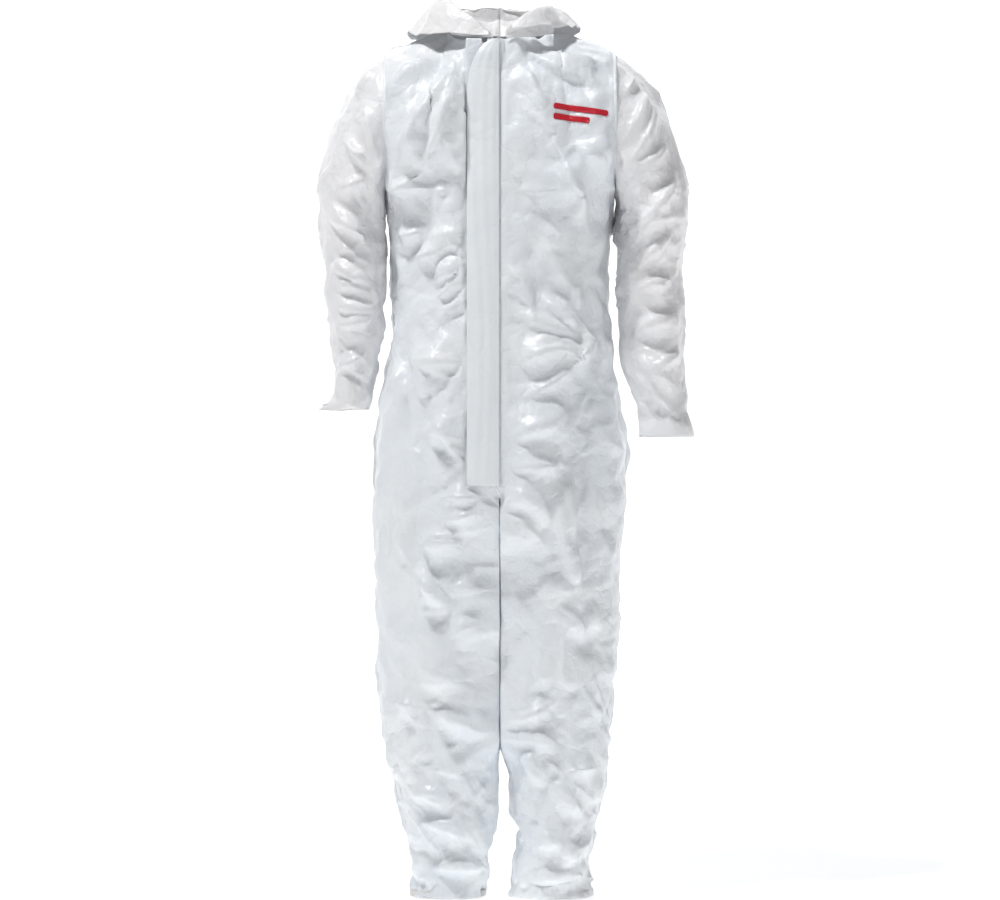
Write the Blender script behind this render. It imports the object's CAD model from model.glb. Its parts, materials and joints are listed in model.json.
import json
import math
import bmesh
import bpy
import numpy as np
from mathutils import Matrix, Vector


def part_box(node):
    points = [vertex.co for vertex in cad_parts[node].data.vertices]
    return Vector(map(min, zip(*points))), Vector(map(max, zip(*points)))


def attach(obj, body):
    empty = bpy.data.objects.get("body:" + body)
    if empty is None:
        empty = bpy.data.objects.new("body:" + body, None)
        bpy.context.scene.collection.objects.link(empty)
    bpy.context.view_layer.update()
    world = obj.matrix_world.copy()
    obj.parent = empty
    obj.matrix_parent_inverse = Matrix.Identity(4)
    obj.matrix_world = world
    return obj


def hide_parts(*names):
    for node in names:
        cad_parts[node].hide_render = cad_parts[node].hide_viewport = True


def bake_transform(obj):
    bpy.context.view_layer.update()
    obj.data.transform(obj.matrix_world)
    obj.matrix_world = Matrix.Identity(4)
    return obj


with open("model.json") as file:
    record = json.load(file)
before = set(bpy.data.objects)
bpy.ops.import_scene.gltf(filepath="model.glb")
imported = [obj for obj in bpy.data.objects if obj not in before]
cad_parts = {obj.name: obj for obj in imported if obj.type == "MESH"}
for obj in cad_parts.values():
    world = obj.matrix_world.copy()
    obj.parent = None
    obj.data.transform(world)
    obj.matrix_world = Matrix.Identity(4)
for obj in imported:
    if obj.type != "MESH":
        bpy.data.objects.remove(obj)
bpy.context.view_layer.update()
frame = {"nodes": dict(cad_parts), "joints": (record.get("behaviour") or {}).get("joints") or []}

joints = {j["name"]: j for j in frame["joints"]}
print("frame loaded")


def ease(t):
    # smooth step from 0 to 1
    t = np.clip(t, 0, 1)
    return t * t * (3 - 2 * t)


def between(z, levels, column):
    # half linear, half eased interpolation of one column of a list of levels; the first column is the height
    table = np.array(levels, float)
    table = table[np.argsort(table[:, 0])]
    k = np.clip(np.searchsorted(table[:, 0], z) - 1, 0, len(table) - 2)
    t = np.clip((z - table[k, 0]) / (table[k + 1, 0] - table[k, 0]), 0, 1)
    t = 0.5 * t + 0.5 * ease(t)
    return table[k, column] + t * (table[k + 1, column] - table[k, column])


def spread(curve, count):
    # count + 1 points at equal arc lengths along a dense curve
    steps = np.linalg.norm(np.diff(curve, axis=0), axis=1)
    run = np.concatenate([[0], np.cumsum(steps)])
    at = np.linspace(0, run[-1], count + 1)
    return np.stack([np.interp(at, run, curve[:, k]) for k in range(3)], 1)


def curveThrough(points, count):
    # smooth curve through all the points: cubic between each two, with tangents from their neighbours
    p = np.array(points, float)
    slope = np.gradient(p, axis=0)
    at = np.linspace(0, len(p) - 1, 40 * len(p))
    k = np.minimum(at.astype(int), len(p) - 2)
    t = (at - k)[:, None]
    curve = (
        (2 * t**3 - 3 * t**2 + 1) * p[k] + (t**3 - 2 * t**2 + t) * slope[k]
        + (3 * t**2 - 2 * t**3) * p[k + 1] + (t**3 - t**2) * slope[k + 1]
    )
    return spread(curve, count)


def newPiece(name, points, faces):
    # mesh object from arrays of points and of faces
    mesh = bpy.data.meshes.new(name)
    mesh.from_pydata(points.reshape(-1, 3).tolist(), [], faces.tolist())
    mesh.update()
    mesh.polygons.foreach_set("use_smooth", np.ones(len(mesh.polygons), bool))
    piece = bpy.data.objects.new(name, mesh)
    bpy.context.scene.collection.objects.link(piece)
    return piece


def getPoints(mesh):
    flat = np.empty(len(mesh.vertices) * 3)
    mesh.vertices.foreach_get("co", flat)
    return flat.reshape(-1, 3)


def setPoints(mesh, points):
    mesh.vertices.foreach_set("co", points.ravel())
    mesh.update()


def getNormals(mesh):
    flat = np.empty(len(mesh.vertices) * 3)
    mesh.vertex_normals.foreach_get("vector", flat)
    return flat.reshape(-1, 3)


def gridFaces(rows, columns, first=0, closed=False):
    # quads of a grid of points kept row by row; closed joins the last column to the first
    wide = columns if closed else columns - 1
    i = np.arange(rows - 1)[:, None] * columns
    j = np.arange(wide)[None, :]
    a = (first + i + j).ravel()
    b = (first + i + (j + 1) % columns).ravel()
    return np.stack([a, a + columns, b + columns, b], 1)


def sewn(points, faces):
    # the same mesh with points at the same place made one
    key = np.round(points / 2e-5).astype(np.int64)
    unused, firstAt, inverse = np.unique(key, axis=0, return_index=True, return_inverse=True)
    return points[firstAt], inverse.ravel()[faces]


def smoothed(mesh, levels):
    # mesh of a subdivision surface of the piece, with the same material index on each part
    modifier = mesh.modifiers.new("fine", "SUBSURF")
    modifier.levels = levels
    modifier.render_levels = levels
    graph = bpy.context.evaluated_depsgraph_get()
    fine = bpy.data.meshes.new_from_object(mesh.evaluated_get(graph))
    mesh.modifiers.clear()
    mesh.data = fine
    return mesh


def foldRelief(points, normals, folds):
    # height over the surface of a list of folds: each a crest along a curved line on the surface,
    # with a sharp top, one flank steeper than the other, fading out to both ends
    height = np.zeros(len(points))
    for centre, along, normal, length, bow, tall, wide, lean in folds:
        offset = points - centre
        t = offset @ along / (0.5 * length)
        near = np.nonzero((np.abs(t) < 1) & ((offset**2).sum(1) < (0.5 * length + 5 * wide)**2))[0]
        if len(near) == 0:
            continue
        offset, t = offset[near], t[near]
        side = np.cross(normal, along)
        across = offset @ side - bow * (1 - t**2)
        fade = (1 - t**2)**1.5
        flank = wide * (0.45 + 0.55 * fade) * np.where(across > 0, 1 + lean, 1 - lean)
        a = across / flank
        crest = np.exp(0.25 - np.sqrt(a**2 + 0.0625)) * np.exp(-(a / 2.6)**4)
        facing = ease((normals[near] @ normal - 0.1) / 0.5)
        height[near] += tall * fade * crest * facing
    return height


def placedFold(points, normals, start, end, tall, wide, bow=0.0, lean=0.3, face=-1):
    # a fold between two places seen from the front (face -1) or the back (1): across and height of each
    start, end = np.array(start), np.array(end)
    middle = (start + end) / 2
    away = (points[:, 0] - middle[0])**2 + (points[:, 2] - middle[1])**2
    away = away + 1.0 * (normals[:, 1] * face < 0.15)
    at = int(np.argmin(away))
    normal = normals[at]
    along = np.array([end[0] - start[0], 0.0, end[1] - start[1]])
    length = np.linalg.norm(along)
    along -= normal * (along @ normal)
    along /= np.linalg.norm(along)
    return points[at], along, normal, length, bow, tall, wide, lean


def scatteredFolds(points, normals, region, random):
    # folds strewn over the part of the surface where weight is high, turned about the direction that it gives
    weight = region["weight"](points, normals)
    chance = np.cumsum(weight / weight.sum())
    picks = np.searchsorted(chance, random.random(region["count"]))
    folds = []
    for at in picks:
        normal = normals[at]
        level = np.cross(normal, [0, 0, 1.0])
        level /= max(np.linalg.norm(level), 1e-6)
        up = np.cross(level, normal)
        turn = region["turn"](points[at]) + random.normal() * region["stray"]
        along = math.cos(turn) * level + math.sin(turn) * up
        length = region["length"] * random.uniform(0.5, 1.5)
        tall = region["tall"] * random.uniform(0.35, 1.0)
        tall *= 1 if random.random() > region["hollow"] else -0.8
        wide = region["wide"] * random.uniform(0.6, 1.4)
        bow = length * random.normal() * 0.08
        folds.append((points[at], along, normal, length, bow, tall, wide, random.uniform(-0.3, 0.3)))
    return folds


body = {
    "cell": 0.008,           # size of one cell of the simulated cloth
    "crotchZ": 0.650,
    "zipX": -0.025,
    "slotHalf": 0.004,
    "frontLow": -0.140,      # front line at the crotch and at the chin
    "frontHigh": -0.100,
    "chinZ": 1.385,
    "outerColumns": 70,
    "innerColumns": 17,      # each of front and back, between the legs
    "neckColumns": 19,       # the rest of the half goes along the shoulder seam
    "swell": 0.016,          # fullness of the chest and the shoulder blades
    "blendHigh": 0.47,       # the cloth of the knee bends between these heights
    "blendLow": 0.17,
    "thick": 0.0005,
    "foldScale": 1.6,
}
armY = joints["left_shoulder"]["pos_m"][1]
armZ = joints["left_shoulder"]["pos_m"][2]
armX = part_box("upper_sleeve_left")[0][0] - 0.0006
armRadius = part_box("upper_sleeve_left")[1][2] - armZ
armpitZ = armZ - armRadius
lean = math.atan2(body["frontHigh"] - body["frontLow"], body["chinZ"] - body["crotchZ"])


def frontAt(z):
    rise = (z - body["crotchZ"]) / (body["chinZ"] - body["crotchZ"])
    return body["frontLow"] + rise * (body["frontHigh"] - body["frontLow"])


def overFront(x, z, lift):
    # points over the leaning front line: across, height, distance in front of it
    y = frontAt(z) - lift * math.cos(lean)
    return np.stack(np.broadcast_arrays(x, y, z + lift * math.sin(lean)), -1)


# height, right half width, left half width, back, squareness
trunkLevels = [
    (0.650, 0.211, 0.208, 0.132, 2.5),
    (0.740, 0.210, 0.212, 0.138, 2.5),
    (0.830, 0.190, 0.194, 0.130, 2.4),
    (0.925, 0.168, 0.165, 0.116, 2.4),
    (1.000, 0.172, 0.168, 0.122, 2.4),
    (1.080, 0.180, 0.178, 0.134, 2.6),
    (1.140, 0.1848, 0.1848, 0.140, 2.9),
]

# height, inner and outer distance from the centre line, front, back
legLevels = {
    "right": [
        (0.000, 0.024, 0.144, -0.052, 0.060),
        (0.060, 0.014, 0.147, -0.062, 0.066),
        (0.120, 0.004, 0.155, -0.070, 0.072),
        (0.190, 0.002, 0.168, -0.078, 0.080),
        (0.254, 0.0015, 0.186, -0.088, 0.088),
        (0.320, 0.0015, 0.197, -0.094, 0.092),
        (0.449, 0.0015, 0.203, -0.104, 0.102),
        (0.557, 0.0015, 0.206, -0.116, 0.112),
        (0.650, 0.0015, 0.211, -0.140, 0.132),
    ],
    "left": [
        (0.000, 0.018, 0.153, -0.054, 0.060),
        (0.060, 0.017, 0.149, -0.062, 0.066),
        (0.120, 0.020, 0.157, -0.070, 0.072),
        (0.190, 0.010, 0.174, -0.080, 0.080),
        (0.254, 0.003, 0.178, -0.088, 0.088),
        (0.320, 0.0015, 0.185, -0.094, 0.092),
        (0.449, 0.0015, 0.194, -0.104, 0.102),
        (0.557, 0.0015, 0.197, -0.114, 0.112),
        (0.650, 0.0015, 0.208, -0.140, 0.132),
    ],
}


def halfRing(z, half, back, square, count):
    # superellipse from the centre front over the side to the centre back, half of the points before the side
    turn = np.linspace(0, np.pi, 401)
    power = 2 / square
    across = half * np.abs(np.sin(turn)) ** power
    deep = np.where(turn < np.pi / 2, armY - frontAt(z), back - armY)
    along = armY - deep * np.sign(np.cos(turn)) * np.abs(np.cos(turn)) ** power
    ring = np.stack([across, along, np.full_like(turn, z)], 1)
    return np.concatenate([spread(ring[:201], count // 2), spread(ring[200:], count // 2)[1:]])


def legRing(z, inner, outer, front, back, count):
    # superellipse round one leg, from the inseam over front, outside and back
    turn = np.linspace(-np.pi, np.pi, 601)
    power = 2 / 2.25
    middle, half = (inner + outer) / 2, (outer - inner) / 2
    x = middle + half * np.sign(np.cos(turn)) * np.abs(np.cos(turn)) ** power
    deep = np.where(turn < 0, -front, back)
    y = deep * np.sign(np.sin(turn)) * np.abs(np.sin(turn)) ** power
    return spread(np.stack([x, y, np.full_like(turn, z)], 1), count)


def rowHeights(low, high, squeeze):
    # heights from high to low; squeeze(z) is how much cloth is packed into a unit of height
    z = np.linspace(low, high, 800)
    run = np.concatenate([[0], np.cumsum(0.5 * (squeeze(z)[1:] + squeeze(z)[:-1]) * np.diff(z))])
    count = int(round(run[-1] / body["cell"]))
    return np.interp(np.linspace(0, run[-1], count + 1), run, z)[::-1]


def squeezeAt(z):
    # spare length: bunching below the knees, a little at the waist
    lower = 0.20 * ease((0.42 - z) / 0.30)
    knee = 0.06 * np.exp(-((z - 0.36) / 0.10) ** 2)
    waist = 0.06 * np.exp(-((z - 0.93) / 0.09) ** 2)
    return 1.03 + lower + knee + waist


def chestPatch(sign, facing, bottom, halfColumns):
    # patch blended from its four edges: neck and shoulder line, armpit row, centre line and armhole
    rows = int(round((body["chinZ"] - armpitZ) * 1.04 / body["cell"]))
    neckTurn = np.linspace(facing * np.pi / 2, np.pi * 0.04, 60)
    neckX = sign * 0.080 * np.cos(neckTurn)
    neckY = -0.008 + 0.084 * np.sin(neckTurn)
    neckZ = 1.383 + 0.019 * ease((neckY + 0.092) / 0.10)
    neck = np.stack([neckX, neckY, neckZ], 1)
    tip = np.array([sign * armX, armY, armZ + armRadius])
    share = np.linspace(0, 1, 60)[1:, None]
    seam = neck[-1] + (tip - neck[-1]) * share
    seam[:, 2] += 0.006 * np.sin(np.pi * share[:, 0])
    topEdge = np.concatenate([
        spread(neck, body["neckColumns"]),
        spread(np.concatenate([neck[-1:], seam]), halfColumns - body["neckColumns"])[1:],
    ])
    arc = np.linspace(np.pi / 2, -np.pi / 2, 300)
    hole = np.stack([
        np.full_like(arc, sign * armX),
        armY + facing * armRadius * np.cos(arc),
        armZ + armRadius * np.sin(arc),
    ], 1)
    sideEdge = spread(hole, rows)
    middle = np.linspace(0, 1, rows + 1)
    centreEdge = topEdge[0] + (bottom[0] - topEdge[0]) * middle[:, None]
    if facing > 0:
        centreEdge[:, 1] += 0.030 * np.sin(np.pi * middle) ** 0.8
    across = np.linspace(0, 1, halfColumns + 1)[None, :, None]
    down = middle[:, None, None]
    top, low = topEdge[None], bottom[None]
    left, right = centreEdge[:, None], sideEdge[:, None]
    corners = (
        (1 - down) * (1 - across) * top[:, :1] + (1 - down) * across * top[:, -1:]
        + down * (1 - across) * low[:, :1] + down * across * low[:, -1:]
    )
    patch = (1 - down) * top + down * low + (1 - across) * left + across * right - corners
    swell = np.sin(np.pi * down) * np.sin(np.pi * across ** 1.1)
    patch[..., 1] += facing * body["swell"] * swell[..., 0]
    return patch


def bodyPatches(side):
    # the grids of one half of the suit: front and back of the chest, lower trunk, leg
    sign = -1 if side == "right" else 1
    widthColumn = 1 if side == "right" else 2
    outer, inner = body["outerColumns"], body["innerColumns"]
    rings = []
    for z in rowHeights(body["crotchZ"], armpitZ, squeezeAt):
        half, back, square = [between(z, trunkLevels, k) for k in (widthColumn, 3, 4)]
        rings.append(halfRing(z, half, back, square, outer))
    trunk = np.array(rings)
    trunk[0, outer // 2] = (armX, armY, armpitZ)
    trunk[..., 0] *= sign
    halfColumns = outer // 2
    front = chestPatch(sign, -1, trunk[0, : halfColumns + 1], halfColumns)
    back = chestPatch(sign, 1, trunk[0, halfColumns:][::-1], halfColumns)
    crotch = trunk[-1].copy()
    crotch[:, 0] *= sign
    ahead = np.linspace(armY, crotch[0, 1], inner + 1)
    behind = np.linspace(crotch[-1, 1], armY, inner + 1)
    bridge = [np.stack([0 * y, y, 0 * y + body["crotchZ"]], 1) for y in (ahead, behind)]
    first = np.concatenate([bridge[0][:-1], crotch, bridge[1][1:]])
    rings = []
    for z in rowHeights(0.0, body["crotchZ"], squeezeAt):
        values = [between(z, legLevels[side], k) for k in (1, 2, 3, 4)]
        ring = legRing(z, *values, outer + 2 * inner)
        share = ease((body["crotchZ"] - z) / 0.13) ** 0.8
        start = first.copy()
        start[:, 2] = z
        start[:, 0] = np.maximum(start[:, 0], 0.0015 * (z < body["crotchZ"] - 1e-6))
        rings.append((1 - share) * start + share * ring)
    leg = np.array(rings)
    leg[..., 0] *= sign
    return {"front": front, "back": back, "trunk": trunk, "leg": leg}


def buildBody():
    # all patches of both halves as one sewn mesh, with a panel number for each face
    allPoints, allFaces, panels = [], [], []
    outer, inner = body["outerColumns"], body["innerColumns"]
    count = 0
    for side in ("right", "left"):
        sign = -1 if side == "right" else 1
        for name, patch in bodyPatches(side).items():
            rows, columns = patch.shape[:2]
            points = patch.reshape(-1, 3).copy()
            if name in ("front", "trunk"):
                share = np.tile(np.arange(columns) / body["neckColumns"], rows)
                up = ease((points[:, 2] - body["crotchZ"]) / 0.045)
                points[:, 0] += body["zipX"] * up * np.clip(1 - share, 0, 1) ** 1.3
                edge = (share == 0) & (points[:, 2] > 0.697)
                points[edge, 0] += sign * body["slotHalf"]
            faces = gridFaces(rows, columns, count)
            if (sign > 0) == (name == "back"):
                faces = faces[:, ::-1]
            j = np.tile(np.arange(columns - 1), rows - 1)
            behind = {
                "front": 0 * j,
                "back": 0 * j + 1,
                "trunk": j >= outer // 2,
                "leg": j >= inner + outer // 2,
            }
            panels.append(behind[name].astype(int) + (2 if side == "left" else 0))
            allPoints.append(points)
            allFaces.append(faces)
            count += len(points)
    points, faces = sewn(np.concatenate(allPoints), np.concatenate(allFaces))
    return points, faces, np.concatenate(panels)


bodyPoints, bodyFaces, bodyPanels = buildBody()
bodyCloth = newPiece("bodyCloth", bodyPoints, bodyFaces)
bodyCloth.data.polygons.foreach_set("material_index", bodyPanels)
print("body cloth", len(bodyPoints), "points")

# folds of the front, as across and height of both ends, crest height, width, bow
bodyFolds = [
    ((-0.110, 1.383), (-0.199, 1.275), 0.008, 0.015, 0.006),
    ((-0.083, 1.356), (-0.180, 1.183), 0.009, 0.015, 0.008),
    ((-0.055, 1.345), (-0.120, 1.173), 0.007, 0.013, -0.005),
    ((-0.094, 1.226), (-0.066, 1.162), 0.008, 0.014, 0.0),
    ((-0.190, 1.122), (-0.105, 1.168), 0.010, 0.015, 0.005),
    ((-0.185, 1.143), (-0.050, 1.140), 0.003, 0.006, 0.0),
    ((-0.168, 1.048), (-0.112, 1.078), 0.010, 0.013, 0.006),
    ((-0.125, 1.074), (-0.052, 1.070), 0.008, 0.012, -0.006),
    ((-0.166, 0.995), (-0.058, 1.064), 0.009, 0.013, 0.008),
    ((-0.116, 0.983), (-0.052, 1.027), 0.007, 0.009, 0.004),
    ((-0.116, 0.951), (-0.052, 0.997), 0.007, 0.009, 0.004),
    ((-0.104, 0.923), (-0.052, 0.964), 0.006, 0.009, 0.004),
    ((-0.165, 0.878), (-0.050, 0.865), 0.011, 0.013, -0.006),
    ((-0.164, 0.900), (-0.108, 0.800), 0.009, 0.013, 0.006),
    ((-0.188, 0.880), (-0.140, 0.770), 0.008, 0.015, 0.0),
    ((-0.140, 0.780), (-0.054, 0.742), 0.009, 0.015, -0.006),
    ((-0.110, 0.790), (-0.050, 0.690), 0.007, 0.014, -0.006),
    ((0.019, 1.366), (0.082, 1.225), 0.009, 0.011, 0.003),
    ((0.075, 1.240), (0.150, 1.062), 0.009, 0.011, 0.003),
    ((0.031, 1.372), (0.172, 1.302), 0.008, 0.016, -0.006),
    ((0.060, 1.366), (0.180, 1.340), 0.006, 0.014, 0.0),
    ((0.004, 1.137), (0.150, 1.140), 0.003, 0.006, 0.0),
    ((0.105, 1.215), (0.178, 1.165), 0.009, 0.014, 0.005),
    ((0.090, 1.195), (0.140, 1.090), 0.007, 0.010, 0.004),
    ((0.048, 1.070), (0.158, 0.940), 0.010, 0.014, -0.008),
    ((0.004, 1.036), (0.066, 0.968), 0.008, 0.012, -0.005),
    ((0.058, 0.975), (0.160, 0.918), 0.010, 0.012, -0.008),
    ((0.004, 0.990), (0.060, 0.945), 0.007, 0.010, 0.004),
    ((0.002, 0.950), (0.162, 0.914), 0.008, 0.012, -0.010),
    ((0.016, 0.868), (0.162, 0.912), 0.013, 0.017, -0.012),
    ((0.026, 0.805), (0.162, 0.905), 0.011, 0.018, -0.012),
    ((0.110, 0.850), (0.164, 0.912), 0.008, 0.010, 0.0),
    ((0.002, 0.735), (0.140, 0.772), 0.010, 0.016, 0.008),
    ((-0.128, 0.640), (-0.018, 0.645), 0.011, 0.012, 0.004),
    ((-0.118, 0.595), (-0.018, 0.628), 0.009, 0.012, 0.006),
    ((-0.143, 0.562), (-0.050, 0.574), 0.008, 0.013, 0.008),
    ((-0.193, 0.612), (-0.150, 0.535), 0.008, 0.013, 0.0),
    ((-0.155, 0.545), (-0.082, 0.472), 0.010, 0.013, -0.004),
    ((-0.105, 0.510), (-0.010, 0.502), 0.007, 0.012, -0.005),
    ((-0.090, 0.424), (-0.014, 0.452), 0.008, 0.013, 0.005),
    ((-0.156, 0.372), (-0.040, 0.350), 0.010, 0.012, 0.006),
    ((-0.193, 0.322), (-0.108, 0.304), 0.010, 0.012, 0.004),
    ((-0.120, 0.308), (-0.030, 0.268), 0.011, 0.012, 0.005),
    ((-0.156, 0.178), (-0.070, 0.160), 0.009, 0.011, 0.005),
    ((-0.134, 0.134), (-0.040, 0.104), 0.010, 0.012, 0.005),
    ((-0.110, 0.052), (-0.018, 0.050), 0.009, 0.010, 0.004),
    ((0.000, 0.668), (0.086, 0.608), 0.011, 0.014, 0.006),
    ((0.000, 0.694), (0.130, 0.690), 0.008, 0.013, 0.006),
    ((0.084, 0.690), (0.152, 0.480), 0.009, 0.012, -0.006),
    ((0.146, 0.490), (0.164, 0.430), 0.007, 0.012, 0.0),
    ((0.002, 0.624), (0.088, 0.560), 0.010, 0.014, 0.006),
    ((0.066, 0.510), (0.132, 0.509), 0.009, 0.011, -0.008),
    ((0.088, 0.478), (0.152, 0.425), 0.008, 0.012, 0.0),
    ((0.004, 0.540), (0.028, 0.410), 0.008, 0.014, 0.004),
    ((0.028, 0.286), (0.100, 0.318), 0.009, 0.012, 0.004),
    ((0.024, 0.272), (0.100, 0.252), 0.009, 0.011, 0.004),
    ((0.030, 0.250), (0.080, 0.198), 0.010, 0.012, -0.004),
    ((0.074, 0.204), (0.142, 0.138), 0.009, 0.012, 0.0),
    ((0.092, 0.198), (0.172, 0.214), 0.010, 0.011, 0.004),
    ((0.034, 0.122), (0.130, 0.064), 0.010, 0.012, 0.006),
    ((0.074, 0.064), (0.160, 0.106), 0.009, 0.011, -0.005),
    ((0.040, 0.030), (0.135, 0.044), 0.008, 0.009, 0.004),
]
# folds of the back, in the same way
backFolds = [
    ((-0.150, 1.150), (-0.040, 1.260), 0.008, 0.016, 0.008),
    ((0.150, 1.145), (0.035, 1.250), 0.008, 0.016, -0.008),
    ((-0.165, 1.110), (-0.020, 1.120), 0.008, 0.015, -0.010),
    ((0.165, 1.100), (0.010, 1.085), 0.008, 0.015, -0.010),
    ((-0.160, 1.010), (-0.030, 1.050), 0.009, 0.013, -0.008),
    ((0.160, 1.005), (0.030, 1.030), 0.009, 0.013, -0.008),
    ((-0.165, 0.925), (-0.040, 0.860), 0.010, 0.015, 0.008),
    ((0.165, 0.920), (0.030, 0.850), 0.010, 0.015, 0.008),
    ((-0.185, 0.780), (-0.015, 0.660), 0.009, 0.018, -0.012),
    ((0.185, 0.770), (0.015, 0.670), 0.009, 0.018, -0.012),
    ((-0.165, 0.640), (-0.020, 0.600), 0.009, 0.014, -0.008),
    ((0.165, 0.650), (0.020, 0.590), 0.009, 0.014, -0.008),
    ((-0.150, 0.420), (-0.030, 0.400), 0.009, 0.013, 0.006),
    ((0.150, 0.400), (0.030, 0.420), 0.009, 0.013, 0.006),
    ((-0.160, 0.350), (-0.030, 0.330), 0.009, 0.013, -0.006),
    ((0.160, 0.330), (0.030, 0.345), 0.009, 0.013, -0.006),
    ((-0.140, 0.220), (-0.030, 0.180), 0.009, 0.012, 0.005),
    ((0.150, 0.200), (0.030, 0.230), 0.009, 0.012, 0.005),
    ((-0.130, 0.110), (-0.030, 0.120), 0.009, 0.011, 0.005),
    ((0.140, 0.130), (0.040, 0.090), 0.009, 0.011, 0.005),
]
# strewn folds: how many, how long and tall, main direction from level in radians
bodyRegions = [
    dict(count=90, length=0.085, tall=0.0045, wide=0.008, hollow=0.4, stray=0.45,
         weight=lambda p, n: ease((0.44 - p[:, 2]) / 0.1) * (p[:, 2] > 0.015),
         turn=lambda p: 0.35 * np.sign(p[0]) * np.sign(p[1])),
    dict(count=60, length=0.110, tall=0.004, wide=0.010, hollow=0.45, stray=0.6,
         weight=lambda p, n: ease((p[:, 2] - 0.38) / 0.1) * ease((0.84 - p[:, 2]) / 0.1),
         turn=lambda p: 0.5 * np.sign(p[0]) * np.sign(p[1])),
    dict(count=60, length=0.090, tall=0.004, wide=0.008, hollow=0.4, stray=0.35,
         weight=lambda p, n: np.exp(-((p[:, 2] - 0.94) / 0.08) ** 2),
         turn=lambda p: 0.25 * np.sign(p[0]) * np.sign(p[1])),
    dict(count=70, length=0.110, tall=0.004, wide=0.009, hollow=0.45, stray=0.5,
         weight=lambda p, n: ease((p[:, 2] - 1.0) / 0.08) * (p[:, 2] < 1.36),
         turn=lambda p: -0.9 * np.sign(p[0]) * np.sign(p[1])),
]


def restShape(points):
    # the cut of the cloth: a little wider and longer than the guide, so that it crumples
    z = points[:, 2]
    wider = 1.02 + 0.02 * np.exp(-((z - 0.93) / 0.12) ** 2) + 0.02 * ease((0.55 - z) / 0.4)
    level = np.linspace(z.min(), z.max(), 1200)
    extra = squeezeAt(level)
    run = np.concatenate([[0], np.cumsum(0.5 * (extra[1:] + extra[:-1]) * np.diff(level))])
    return np.stack([points[:, 0] * wider, points[:, 1] * wider, np.interp(z, level, run)], 1)


def drape(piece, rest, pin, settings):
    # cloth simulation with a rest shape and soft pins that keep the guide; the result is put into the mesh
    piece.shape_key_add(name="Basis")
    key = piece.shape_key_add(name="cut")
    key.data.foreach_set("co", rest.ravel())
    key.value = 0
    group = piece.vertex_groups.new(name="pin")
    near = np.round(pin, 2)
    for level in np.unique(near):
        group.add(np.nonzero(near == level)[0].tolist(), float(level), "REPLACE")
    modifier = piece.modifiers.new("cloth", "CLOTH")
    cloth = modifier.settings
    cloth.quality = settings["quality"]
    cloth.mass = settings["mass"]
    cloth.air_damping = 1.0
    cloth.tension_stiffness = settings["stretch"]
    cloth.compression_stiffness = settings["stretch"]
    cloth.shear_stiffness = settings["shear"]
    cloth.bending_stiffness = settings["bend"]
    cloth.tension_damping = 5
    cloth.compression_damping = 5
    cloth.shear_damping = 5
    cloth.bending_damping = 0.5
    cloth.vertex_group_mass = "pin"
    cloth.pin_stiffness = settings["pin"]
    cloth.rest_shape_key = key
    cloth.effector_weights.gravity = settings["gravity"]
    modifier.collision_settings.use_collision = False
    modifier.point_cache.frame_start = 1
    modifier.point_cache.frame_end = settings["frames"]
    scene = bpy.context.scene
    for step in range(1, settings["frames"] + 1):
        scene.frame_set(step)
    graph = bpy.context.evaluated_depsgraph_get()
    done = getPoints(piece.evaluated_get(graph).data)
    scene.frame_set(1)
    piece.modifiers.remove(modifier)
    piece.shape_key_clear()
    piece.vertex_groups.clear()
    setPoints(piece.data, done)
    return done


random = np.random.default_rng(11)
normals = getNormals(bodyCloth.data)
folds = [placedFold(bodyPoints, normals, *f[:2], f[2], f[3], f[4]) for f in bodyFolds]
folds += [placedFold(bodyPoints, normals, *f[:2], f[2], f[3], f[4], face=1) for f in backFolds]
for region in bodyRegions:
    folds += scatteredFolds(bodyPoints, normals, region, random)
onHole = np.hypot(np.hypot(bodyPoints[:, 1] - armY, bodyPoints[:, 2] - armZ) - armRadius,
                  np.abs(bodyPoints[:, 0]) - armX)
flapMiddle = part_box("storm_flap")[0][0] / 2
fromZip = np.abs(bodyPoints[:, 0] - flapMiddle)
nearZip = ease((0.036 - fromZip) / 0.012) * (bodyPoints[:, 1] < -0.06)
nearZip = nearZip * ease((bodyPoints[:, 2] - 0.655) / 0.02)
nearEnd = np.exp(-(bodyPoints[:, 2] / 0.006) ** 2)
nearNeck = np.exp(-(np.maximum(1.383 - bodyPoints[:, 2], 0) / 0.008) ** 2) * (np.abs(bodyPoints[:, 0]) < 0.12)
free = (1 - nearZip) * (1 - nearNeck) * ease(onHole / 0.02) * (1 - 0.7 * nearEnd)
relief = body["foldScale"] * foldRelief(bodyPoints, normals, folds)
guided = bodyPoints + normals * (relief * free)[:, None]
setPoints(bodyCloth.data, guided)
print("guide folds laid", len(folds))

bodySim = dict(quality=5, mass=0.15, stretch=25, shear=10, bend=0.25, pin=1.0, gravity=0.1, frames=16)
pin = 0.08 + 0 * relief
pin = np.maximum.reduce([pin, nearZip, nearNeck, ease((0.004 - onHole) / 0.003), nearEnd])
drape(bodyCloth, restShape(guided), pin, bodySim)
print("body draped")


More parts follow.
